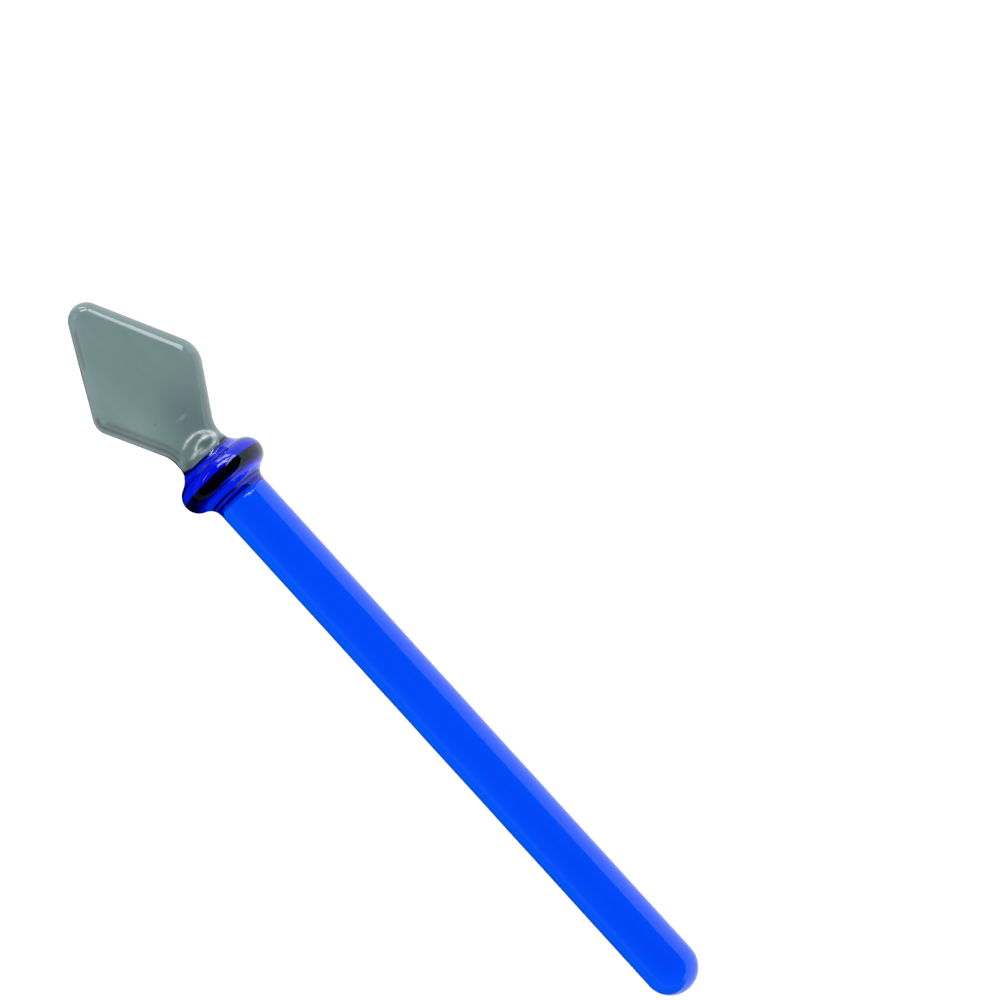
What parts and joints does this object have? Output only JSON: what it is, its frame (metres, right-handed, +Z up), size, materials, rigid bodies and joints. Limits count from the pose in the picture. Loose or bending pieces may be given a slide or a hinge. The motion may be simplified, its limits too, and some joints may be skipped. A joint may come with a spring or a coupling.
{
  "type": "glass paddle tool",
  "caption": "Slim solid glass hand tool: a round cobalt-blue handle with a rounded butt, a ring collar and a flat kite-shaped smoke-grey glass paddle on a short flattened neck.",
  "frame": {"origin": "on the table under the middle of the tool's length and width, as it lies resting on its collar and the rounded butt of its handle", "axes": "+X along the length from the butt towards the paddle's tip, +Y across the paddle, +Z up from the table, the way the paddle's broad face looks"},
  "size_m": [0.1288, 0.0178, 0.0138],
  "materials": {
    "cobalt_cane_glass": "clear transparent cobalt-blue glass, fire polished",
    "cobalt_collar_glass": "clear transparent cobalt-blue glass, fire polished",
    "smoke_glass": "clear transparent smoke-grey glass, fire polished"
  },
  "bodies": {
    "root": {"handle_rod": "cobalt_cane_glass", "collar_bead": "cobalt_collar_glass", "paddle_blade": "smoke_glass"}
  },
  "joints": []
}
